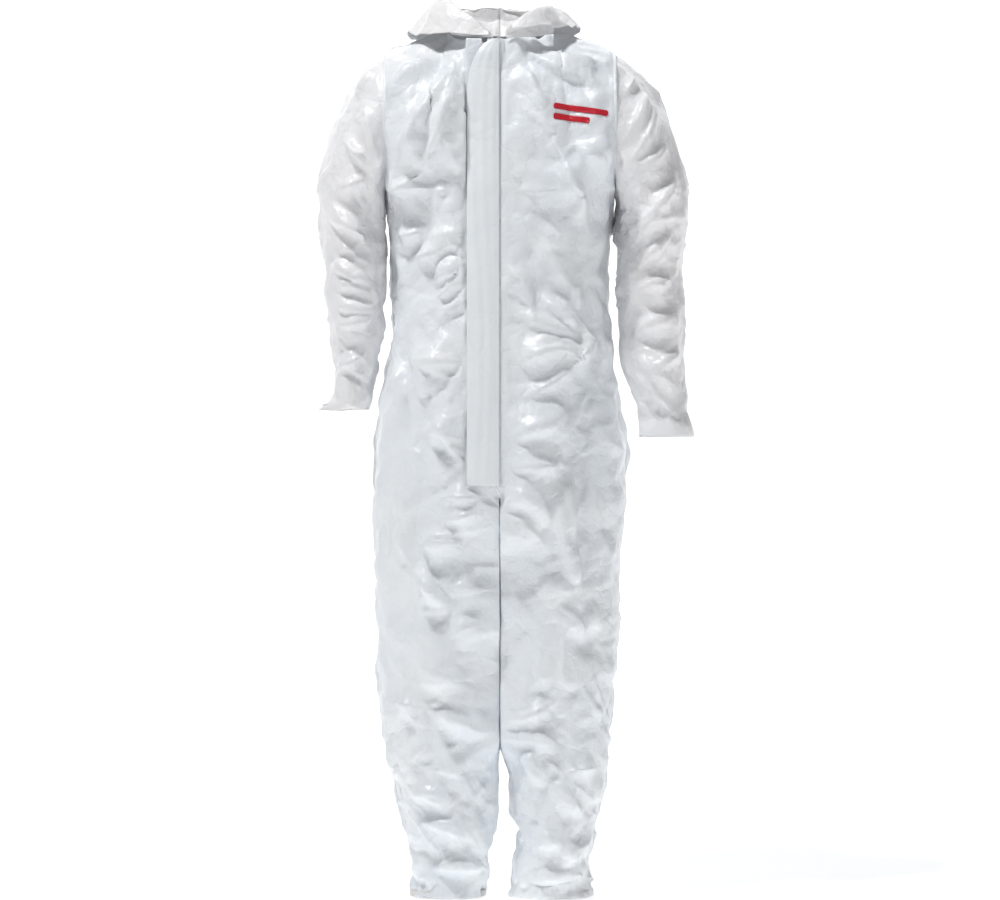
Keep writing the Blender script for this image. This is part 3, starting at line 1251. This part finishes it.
elastic = {
    "wristRibs": 60,         # gathers round each opening
    "ankleRibs": 90,
    "waistRibs": 60,
    "faceRibs": 50,
    "thick": 0.0011,
    "ribHigh": 0.0007,
}


def ribbedBand(name, node, ribs, half=False):
    # band on an ellipse in the box of its node: a full ring, or only its rear half, with small ribs round it
    low, high = [np.array(c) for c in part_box(node)]
    steps = ribs * 6
    turn = np.linspace(0, np.pi if half else 2 * np.pi, steps + 1)
    turn = turn if half else turn[:-1]
    rib = elastic["ribHigh"] * np.sin(turn * ribs * (2 if half else 1))
    thick = elastic["thick"]
    rx = (high[0] - low[0]) / 2 - thick - elastic["ribHigh"]
    if half:
        centre = np.array([(low[0] + high[0]) / 2, low[1]])
        ry = high[1] - low[1] - thick - elastic["ribHigh"]
        power = 2 / 2.4
    else:
        centre = (low[:2] + high[:2]) / 2
        ry = (high[1] - low[1]) / 2 - thick - elastic["ribHigh"]
        power = 1
    c = np.sign(np.cos(turn)) * np.abs(np.cos(turn)) ** power
    s = np.sign(np.sin(turn)) * np.abs(np.sin(turn)) ** power
    out = np.stack([np.cos(turn), np.sin(turn), 0 * turn], 1)
    middle = np.stack([centre[0] + rx * c, centre[1] + ry * s, 0 * turn + (low[2] + high[2]) / 2], 1)
    middle += out * rib[:, None]
    tall = (high[2] - low[2]) / 2 - 0.0002
    section = np.array([
        (-0.5, -1), (0.5, -1), (0.7, -0.6), (0.7, 0.6), (0.5, 1), (-0.5, 1), (-0.7, 0.6), (-0.7, -0.6),
    ])
    grid = middle[:, None] + out[:, None] * (section[:, 0] * thick)[None, :, None]
    grid[..., 2] += (section[:, 1] * tall)[None, :]
    rows, columns = grid.shape[:2]
    points = grid.reshape(-1, 3)
    if half:
        points, faces = sewn(points, gridFaces(rows, columns, closed=True))
        piece = newPiece(name, points, faces)
        mesh = bmesh.new()
        mesh.from_mesh(piece.data)
        bmesh.ops.holes_fill(mesh, edges=mesh.edges)
        mesh.to_mesh(piece.data)
        mesh.free()
    else:
        points = np.concatenate([points, points[:columns]])
        points, faces = sewn(points, gridFaces(rows + 1, columns, closed=True))
        piece = newPiece(name, points, faces)
    return closedOut(piece)


bands = {}
for side in ("right", "left"):
    for where in ("wrist", "ankle"):
        node = where + "_elastic_" + side
        bands[node] = ribbedBand(where + "_band_" + side, node, elastic[where + "Ribs"])
bands["waist_elastic"] = ribbedBand("waist_band", "waist_elastic", elastic["waistRibs"], half=True)
bands["face_elastic"] = ribbedBand("face_band", "face_elastic", elastic["faceRibs"], half=True)

zipShape = {
    "pitch": 0.0016,         # one turn of the coil
    "wire": 0.00034,         # radius of the nylon
    "reach": 0.0024,         # from the middle of the zip to the back of a turn
    "perTurn": 10,
}


def buildCoil(side):
    # helix flattened across the tape, from the lower stop to the upper one
    sign = -1 if side == "right" else 1
    low, high = [np.array(c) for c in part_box("zip_coil_" + side)]
    turns = int((high[2] - low[2]) / zipShape["pitch"])
    at = np.linspace(0, turns, turns * zipShape["perTurn"] + 1)
    turn = 2 * np.pi * (at + (0.5 if sign > 0 else 0))
    half = zipShape["reach"] / 2
    x = zipX + sign * (0.0001 + half + (half - zipShape["wire"]) * np.cos(turn))
    lift = -zipFront + 0.0005 * np.sin(turn)
    z = low[2] + 0.001 + at / turns * (high[2] - low[2] - 0.002)
    line = overFront(x, z, lift)
    ahead = np.gradient(line, axis=0)
    ahead /= np.linalg.norm(ahead, axis=1)[:, None]
    first = np.cross(ahead, [0, 0, 1.0])
    first /= np.maximum(np.linalg.norm(first, axis=1), 1e-6)[:, None]
    second = np.cross(ahead, first)
    ringTurn = np.linspace(0, 2 * np.pi, 6)[:-1]
    grid = line[:, None] + zipShape["wire"] * (
        first[:, None] * np.cos(ringTurn)[None, :, None] + second[:, None] * np.sin(ringTurn)[None, :, None]
    )
    return newPiece("zip_teeth_" + side, grid, gridFaces(len(line), 5, closed=True))


zipX = body["zipX"]
coilLow, coilHigh = [np.array(c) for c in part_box("zip_coil_left")]
zipFront = (coilHigh[1] - frontAt(coilHigh[2]) + coilLow[1] - frontAt(coilLow[2])) / 2 * math.cos(lean)
teeth = {side: buildCoil(side) for side in ("right", "left")}
for side in teeth:
    closedOut(teeth[side])
print("zip made, depth of the coil", round(zipFront * 1000, 2), "mm")

mark = {
    "slant": -7.5,           # degrees from level
    "high": 0.0095,
    # start and length of each bar
    "bars": [((0.0855, 1.2735), 0.088), ((0.0855, 1.2570), 0.058)],
    "thick": 0.0004,
}


def buildMark():
    # two plain bars laid on the cloth: its surface is read from the nearest points of the panel
    cloth = getPoints(panels["front_cloth_left"].data)
    ahead = getNormals(panels["front_cloth_left"].data)
    near = (cloth[:, 0] > 0.06) & (cloth[:, 0] < 0.2) & (cloth[:, 2] > 1.22) & (cloth[:, 2] < 1.30)
    near &= ahead[:, 1] < -0.2
    cloth = cloth[near]
    slant = math.radians(mark["slant"])
    points, faces = [], []
    count = 0
    for start, length in mark["bars"]:
        u, v = np.meshgrid(np.linspace(0, length, 48), np.linspace(-0.5, 0.5, 7), indexing="ij")
        # the ends are rounded off
        short = ease(np.minimum(u, length - u) / 0.002 + 0.45)
        v = v * mark["high"] * short
        x = start[0] + u * math.cos(slant) - v * math.sin(slant)
        z = start[1] + u * math.sin(slant) + v * math.cos(slant)
        away = (x.ravel()[:, None] - cloth[:, 0]) ** 2 + (z.ravel()[:, None] - cloth[:, 2]) ** 2
        weight = np.exp(-away / 0.0026**2) + 1e-12
        y = (weight * cloth[:, 1]).sum(1) / weight.sum(1) - 0.0009
        points.append(np.stack([x.ravel(), y, z.ravel()], 1))
        faces.append(gridFaces(48, 7, count))
        count += 48 * 7
    return newPiece("mark_bars", np.concatenate(points), np.concatenate(faces)[:, ::-1])


markBars = buildMark()


def thicken(piece, thick):
    # wall of the cloth, grown inwards from the finished outer surface
    modifier = piece.modifiers.new("wall", "SOLIDIFY")
    modifier.thickness = thick
    modifier.offset = -1
    modifier.use_even_offset = False
    return piece


for piece in [*panels.values(), *sleeves.values()]:
    thicken(piece, body["thick"])
for piece in [*rolls.values(), *hoodHalves.values()]:
    thicken(piece, roll["thick"])
thicken(flapCloth, flapShape["thick"])
thicken(markBars, mark["thick"])
print("walls given")


def groupOf(name, inputs, outputs):
    # empty node group with the named inputs and outputs
    tree = bpy.data.node_groups.new(name, "ShaderNodeTree")
    for label, value in inputs:
        kind = "NodeSocketColor" if isinstance(value, tuple) else "NodeSocketFloat"
        socket = tree.interface.new_socket(label, in_out="INPUT", socket_type=kind)
        socket.default_value = value
    for label, kind in outputs:
        tree.interface.new_socket(label, in_out="OUTPUT", socket_type=kind)
    return tree, tree.nodes.new("NodeGroupInput"), tree.nodes.new("NodeGroupOutput")


def mathNode(tree, operation, first, second=None):
    node = tree.nodes.new("ShaderNodeMath")
    node.operation = operation
    for k, value in enumerate((first, second)):
        if value is None:
            continue
        if isinstance(value, (int, float)):
            node.inputs[k].default_value = value
        else:
            tree.links.new(value, node.inputs[k])
    return node.outputs[0]


def placeOf(tree):
    return tree.nodes.new("ShaderNodeTexCoord").outputs["Object"]


def noiseNode(tree, vector, scale, detail=3.0, rough=0.5, distortion=0.0):
    node = tree.nodes.new("ShaderNodeTexNoise")
    node.inputs["Scale"].default_value = scale
    node.inputs["Detail"].default_value = detail
    node.inputs["Roughness"].default_value = rough
    node.inputs["Distortion"].default_value = distortion
    tree.links.new(vector, node.inputs["Vector"])
    return node


def mapped(tree, value, low, high, toLow, toHigh):
    node = tree.nodes.new("ShaderNodeMapRange")
    for label, number in (("From Min", low), ("From Max", high), ("To Min", toLow), ("To Max", toHigh)):
        node.inputs[label].default_value = number
    tree.links.new(value, node.inputs["Value"])
    return node.outputs["Result"]


def makeCrinkle():
    # fine creases of a film: cells with sharp borders, warped by noise, in two sizes
    tree, start, end = groupOf("crinkle", [("Size", 70.0), ("Warp", 0.012)],
                               [("Height", "NodeSocketFloat"), ("Facet", "NodeSocketFloat")])
    place = placeOf(tree)
    warp = noiseNode(tree, place, 26.0, 2.0)
    centred = tree.nodes.new("ShaderNodeVectorMath")
    centred.operation = "SUBTRACT"
    centred.inputs[1].default_value = (0.5, 0.5, 0.5)
    tree.links.new(warp.outputs["Color"], centred.inputs[0])
    scaled = tree.nodes.new("ShaderNodeVectorMath")
    scaled.operation = "SCALE"
    tree.links.new(centred.outputs[0], scaled.inputs[0])
    tree.links.new(start.outputs["Warp"], scaled.inputs["Scale"])
    moved = tree.nodes.new("ShaderNodeVectorMath")
    moved.operation = "ADD"
    tree.links.new(place, moved.inputs[0])
    tree.links.new(scaled.outputs[0], moved.inputs[1])
    heights = []
    for share, depth in ((1.0, 0.7), (2.3, 0.3)):
        cells = tree.nodes.new("ShaderNodeTexVoronoi")
        cells.feature = "DISTANCE_TO_EDGE"
        tree.links.new(moved.outputs[0], cells.inputs["Vector"])
        tree.links.new(mathNode(tree, "MULTIPLY", start.outputs["Size"], share), cells.inputs["Scale"])
        edge = mapped(tree, cells.outputs["Distance"], 0.0, 0.35, 0.0, 1.0)
        heights.append(mathNode(tree, "MULTIPLY", mathNode(tree, "POWER", edge, 0.6), depth))
    tree.links.new(mathNode(tree, "ADD", *heights), end.inputs["Height"])
    facets = tree.nodes.new("ShaderNodeTexVoronoi")
    tree.links.new(moved.outputs[0], facets.inputs["Vector"])
    tree.links.new(start.outputs["Size"], facets.inputs["Scale"])
    apart = tree.nodes.new("ShaderNodeSeparateColor")
    tree.links.new(facets.outputs["Color"], apart.inputs["Color"])
    tree.links.new(apart.outputs[0], end.inputs["Facet"])
    return tree


def makeWeb():
    # pressed dots and loose fibres of the non-woven backing that show through the film
    tree, start, end = groupOf("web", [], [("Height", "NodeSocketFloat"), ("Fibre", "NodeSocketFloat")])
    place = placeOf(tree)
    waves = []
    for axis in ((1, 0.35, 1), (-1, 0.35, 1)):
        dot = tree.nodes.new("ShaderNodeVectorMath")
        dot.operation = "DOT_PRODUCT"
        dot.inputs[1].default_value = axis
        tree.links.new(place, dot.inputs[0])
        phase = mathNode(tree, "MULTIPLY", dot.outputs["Value"], 2400.0)
        waves.append(mathNode(tree, "SINE", phase))
    dots = mathNode(tree, "MULTIPLY", *waves)
    fibre = noiseNode(tree, place, 900.0, 3.0, 0.7, 1.5).outputs["Fac"]
    tree.links.new(mathNode(tree, "ADD", mathNode(tree, "MULTIPLY", dots, 0.35), fibre), end.inputs["Height"])
    tree.links.new(noiseNode(tree, place, 240.0, 4.0, 0.6, 0.6).outputs["Fac"], end.inputs["Fibre"])
    return tree


def makeTone():
    # slow change of colour over the cloth between three given colours
    tree, start, end = groupOf(
        "tone", [("First", (1, 1, 1, 1)), ("Second", (1, 1, 1, 1)), ("Third", (1, 1, 1, 1)), ("Mask", 0.5)],
        [("Color", "NodeSocketColor"), ("Value", "NodeSocketFloat")])
    place = placeOf(tree)
    wide = noiseNode(tree, place, 5.5, 3.0).outputs["Fac"]
    blotch = noiseNode(tree, place, 34.0, 4.0, 0.6).outputs["Fac"]
    first = tree.nodes.new("ShaderNodeMix")
    first.data_type = "RGBA"
    tree.links.new(mapped(tree, wide, 0.35, 0.65, 0.0, 1.0), first.inputs["Factor"])
    tree.links.new(start.outputs["First"], first.inputs[6])
    tree.links.new(start.outputs["Second"], first.inputs[7])
    second = tree.nodes.new("ShaderNodeMix")
    second.data_type = "RGBA"
    part = mathNode(tree, "MULTIPLY", mapped(tree, blotch, 0.4, 0.75, 0.0, 0.8), start.outputs["Mask"])
    tree.links.new(part, second.inputs["Factor"])
    tree.links.new(first.outputs[2], second.inputs[6])
    tree.links.new(start.outputs["Third"], second.inputs[7])
    tree.links.new(second.outputs[2], end.inputs["Color"])
    tree.links.new(blotch, end.inputs["Value"])
    return tree


groups = {"crinkle": makeCrinkle(), "web": makeWeb(), "tone": makeTone()}


def useGroup(tree, name, **values):
    node = tree.nodes.new("ShaderNodeGroup")
    node.node_tree = groups[name]
    for label, value in values.items():
        node.inputs[label].default_value = value
    return node


def startMaterial(name, roughness, specular=0.5):
    material = bpy.data.materials.new(name)
    material.use_nodes = True
    shader = material.node_tree.nodes["Principled BSDF"]
    shader.inputs["Roughness"].default_value = roughness
    shader.inputs["Specular IOR Level"].default_value = specular
    return material, material.node_tree, shader


def bumped(tree, shader, heights):
    # bump nodes one after another: (height, distance in metres, strength)
    last = None
    for height, distance, strength in heights:
        bump = tree.nodes.new("ShaderNodeBump")
        bump.inputs["Distance"].default_value = distance
        bump.inputs["Strength"].default_value = strength
        tree.links.new(height, bump.inputs["Height"])
        if last is not None:
            tree.links.new(last, bump.inputs["Normal"])
        last = bump.outputs["Normal"]
    tree.links.new(last, shader.inputs["Normal"])


def filmMaterial(name, first, second, third, size):
    # white film on a non-woven web: soft gloss, fine creases, faint blotches
    material, tree, shader = startMaterial(name, 0.4)
    tone = useGroup(tree, "tone", First=first, Second=second, Third=third, Mask=0.8)
    crinkle = useGroup(tree, "crinkle", Size=size, Warp=0.016)
    facet = useGroup(tree, "crinkle", Size=0.32 * size, Warp=0.03)
    web = useGroup(tree, "web")
    tree.links.new(tone.outputs["Color"], shader.inputs["Base Color"])
    uneven = mathNode(tree, "ADD", crinkle.outputs["Facet"], tone.outputs["Value"])
    gloss = mapped(tree, uneven, 0.3, 1.6, 0.28, 0.48)
    tree.links.new(gloss, shader.inputs["Roughness"])
    bumped(tree, shader, [(web.outputs["Height"], 0.00006, 0.5), (crinkle.outputs["Height"], 0.0010, 0.4),
                          (facet.outputs["Height"], 0.0030, 0.55)])
    shader.inputs["Sheen Weight"].default_value = 0.08
    shader.inputs["Sheen Roughness"].default_value = 0.4
    shader.inputs["Coat Weight"].default_value = 0.12
    shader.inputs["Coat Roughness"].default_value = 0.25
    return material


def wovenMaterial(name, colour, darker, pitch, roughness=0.75):
    # woven tape: crossing ribs of thread
    material, tree, shader = startMaterial(name, roughness, 0.35)
    place = placeOf(tree)
    tone = useGroup(tree, "tone", First=colour, Second=darker, Third=darker, Mask=0.6)
    tree.links.new(tone.outputs["Color"], shader.inputs["Base Color"])
    ribs = []
    for axis in ((1, 1, 0), (0, 0, 1)):
        dot = tree.nodes.new("ShaderNodeVectorMath")
        dot.operation = "DOT_PRODUCT"
        dot.inputs[1].default_value = axis
        tree.links.new(place, dot.inputs[0])
        phase = mathNode(tree, "MULTIPLY", dot.outputs["Value"], 2 * math.pi / pitch)
        ribs.append(mathNode(tree, "SINE", phase))
    weave = mathNode(tree, "MULTIPLY", *ribs)
    fray = noiseNode(tree, place, 1500.0, 2.0).outputs["Fac"]
    gloss = mapped(tree, fray, 0.3, 0.7, roughness - 0.12, roughness + 0.1)
    tree.links.new(gloss, shader.inputs["Roughness"])
    bumped(tree, shader, [(weave, 0.00012, 0.7), (fray, 0.00005, 0.4)])
    return material


def plasticMaterial(name, colour, second, roughness, coat=0.0):
    # moulded or enamelled part: faint blotches, fine grain, slightly uneven gloss
    material, tree, shader = startMaterial(name, roughness)
    place = placeOf(tree)
    tone = useGroup(tree, "tone", First=colour, Second=second, Third=second, Mask=0.5)
    tree.links.new(tone.outputs["Color"], shader.inputs["Base Color"])
    grain = noiseNode(tree, place, 700.0, 3.0).outputs["Fac"]
    gloss = mapped(tree, grain, 0.3, 0.7, roughness - 0.08, roughness + 0.1)
    tree.links.new(gloss, shader.inputs["Roughness"])
    bumped(tree, shader, [(grain, 0.00004, 0.4)])
    shader.inputs["Coat Weight"].default_value = coat
    return material


materials = {
    "body_film": filmMaterial(
        "body film", (0.83, 0.875, 0.92, 1), (0.88, 0.91, 0.935, 1), (0.91, 0.925, 0.94, 1), 62,
    ),
    "sleeve_film": filmMaterial(
        "sleeve film", (0.885, 0.885, 0.895, 1), (0.91, 0.90, 0.905, 1), (0.87, 0.87, 0.89, 1), 66,
    ),
    "hood_film": filmMaterial(
        "hood film", (0.90, 0.895, 0.90, 1), (0.915, 0.90, 0.90, 1), (0.88, 0.885, 0.90, 1), 58,
    ),
    "flap_film": filmMaterial(
        "flap film", (0.86, 0.90, 0.935, 1), (0.89, 0.92, 0.94, 1), (0.91, 0.93, 0.94, 1), 40,
    ),
    "tape": wovenMaterial("zip tape", (0.84, 0.86, 0.88, 1), (0.78, 0.80, 0.83, 1), 0.0011),
    "coil": plasticMaterial("nylon coil", (0.87, 0.87, 0.88, 1), (0.82, 0.82, 0.84, 1), 0.35),
    "slider": plasticMaterial("white enamel", (0.86, 0.86, 0.86, 1), (0.80, 0.80, 0.81, 1), 0.28, 0.3),
    "elastic": wovenMaterial("covered elastic", (0.85, 0.84, 0.82, 1), (0.78, 0.77, 0.75, 1), 0.0014),
    "mark": plasticMaterial("red print", (0.62, 0.012, 0.03, 1), (0.52, 0.008, 0.02, 1), 0.45),
}
print("materials made")


def finish(piece, slot, *nodes):
    # material, slot of the record, and the CAD nodes that the piece stands for
    piece.data.materials.clear()
    piece.data.materials.append(materials[slot])
    if nodes:
        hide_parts(*nodes)


for side in ("right", "left"):
    kneeX = joints[side + "_knee"]["pos_m"][0]
    high, low = (kneeX, 0, body["blendHigh"]), (kneeX, 0, body["blendLow"])
    for face in ("front", "back"):
        piece = panels[face + "_cloth_" + side]
        finish(piece, "body_film", face + "_panel_" + side, "lower_leg_" + face + "_" + side)
        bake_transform(piece)
    for name in ("side_seam_", "inseam_"):
        finish(seams[name + side], "body_film")
        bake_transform(seams[name + side])
    for name in ("shoulder_seam_", "armhole_seam_"):
        finish(seams[name + side], "body_film")
        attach(seams[name + side], "suit")
    elbow = joints[side + "_elbow"]["pos_m"]
    finish(sleeves[side], "sleeve_film", "upper_sleeve_" + side, "lower_sleeve_" + side)
    high = (elbow[0], 0, elbow[2] + sleeve["blendOver"])
    low = (elbow[0], 0, elbow[2] - sleeve["blendOver"])
    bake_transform(sleeves[side])
    finish(rolls[side], "hood_film", "hood_roll_" + side)
    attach(rolls[side], "suit")
    finish(hoodHalves[side], "hood_film", "hood_" + side)
    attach(hoodHalves[side], "hood")
    finish(bands["wrist_elastic_" + side], "elastic", "wrist_elastic_" + side)
    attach(bands["wrist_elastic_" + side], side + "_forearm")
    finish(bands["ankle_elastic_" + side], "elastic", "ankle_elastic_" + side)
    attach(bands["ankle_elastic_" + side], side + "_shin")
    finish(teeth[side], "coil", "zip_coil_" + side)
    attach(teeth[side], "suit")
for name in ("back_seam", "front_seam"):
    finish(seams[name], "body_film")
    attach(seams[name], "suit")
finish(seams["hood_seam"], "hood_film")
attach(seams["hood_seam"], "hood")
finish(bands["waist_elastic"], "elastic", "waist_elastic")
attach(bands["waist_elastic"], "suit")
finish(bands["face_elastic"], "elastic", "face_elastic")
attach(bands["face_elastic"], "hood")
finish(flapCloth, "flap_film", "storm_flap")
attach(flapCloth, "flap")
finish(markBars, "mark", "chest_mark")
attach(markBars, "suit")

keptNodes = {
    "zip_tape_left": "tape",
    "zip_tape_right": "tape",
    "zip_top_stops": "slider",
    "zip_bottom_stop": "slider",
    "zip_slider": "slider",
    "zip_pull_tab": "slider",
}
for node, slot in keptNodes.items():
    for place in frame["nodes"][node].material_slots:
        place.material = materials[slot]

studio = {
    "focusZ": 0.724,
    "far": 6.5,
    "lens": 144.0,
    "backY": 9.0,
    "bend": 2.5,
    "wallHigh": 9.0,
    "floorGlow": 0.50,
    "wallGlow": 0.93,
}


def buildBackdrop():
    # pale floor that bends up into a wall behind
    t = np.linspace(0, np.pi / 2, 24)
    bend = studio["backY"] - studio["bend"] + studio["bend"] * np.sin(t)
    y = np.concatenate([[-10.0, -2.0], bend, [studio["backY"]]])
    z = np.concatenate([[0, 0], studio["bend"] * (1 - np.cos(t)), [studio["wallHigh"]]]) - 0.0008
    x = np.linspace(-10, 10, 3)
    grid = np.stack(np.broadcast_arrays(x[None, :], y[:, None], z[:, None]), -1)
    piece = newPiece("backdrop", grid, gridFaces(len(y), 3)[:, ::-1])
    material, tree, shader = startMaterial("backdrop", 0.9, 0.1)
    shader.inputs["Base Color"].default_value = (0.93, 0.93, 0.93, 1)
    shader.inputs["Emission Color"].default_value = (1, 1, 1, 1)
    apart = tree.nodes.new("ShaderNodeSeparateXYZ")
    tree.links.new(placeOf(tree), apart.inputs[0])
    glow = mapped(tree, apart.outputs["Y"], 0.8, 3.5, studio["floorGlow"], studio["wallGlow"])
    tree.links.new(glow, shader.inputs["Emission Strength"])
    piece.data.materials.append(material)


def areaLight(name, place, target, size, power, colour=(1, 1, 1)):
    light = bpy.data.lights.new(name, "AREA")
    light.shape = "RECTANGLE"
    light.size, light.size_y = size
    light.energy = power
    light.color = colour
    lamp = bpy.data.objects.new(name, light)
    lamp.location = place
    lamp.rotation_euler = (Vector(target) - Vector(place)).to_track_quat("-Z", "Y").to_euler()
    bpy.context.scene.collection.objects.link(lamp)


buildBackdrop()
areaLight("key", (-1.1, -1.15, 4.2), (0, 0, 0.8), (0.4, 0.4), 84)
areaLight("side", (3.0, -1.2, 1.9), (0, 0, 0.8), (1.0, 2.0), 7, (1.0, 0.97, 0.95))
areaLight("rear", (0.3, 2.0, 3.4), (0, 0.1, 1.0), (2.5, 1.0), 16, (0.96, 0.98, 1.0))
scene = bpy.context.scene
world = bpy.data.worlds.new("studio")
scene.world = world
world.use_nodes = True
world.node_tree.nodes["Background"].inputs["Color"].default_value = (0.93, 0.965, 1.0, 1)
world.node_tree.nodes["Background"].inputs["Strength"].default_value = 0.20
scene.view_settings.view_transform = "Standard"
camera = bpy.data.cameras.new("camera")
camera.sensor_width = 36
camera.lens = studio["lens"]
viewer = bpy.data.objects.new("camera", camera)
viewer.location = (0, -studio["far"], studio["focusZ"])
viewer.rotation_euler = (math.pi / 2, 0, 0)
scene.collection.objects.link(viewer)
scene.camera = viewer
print("studio made")
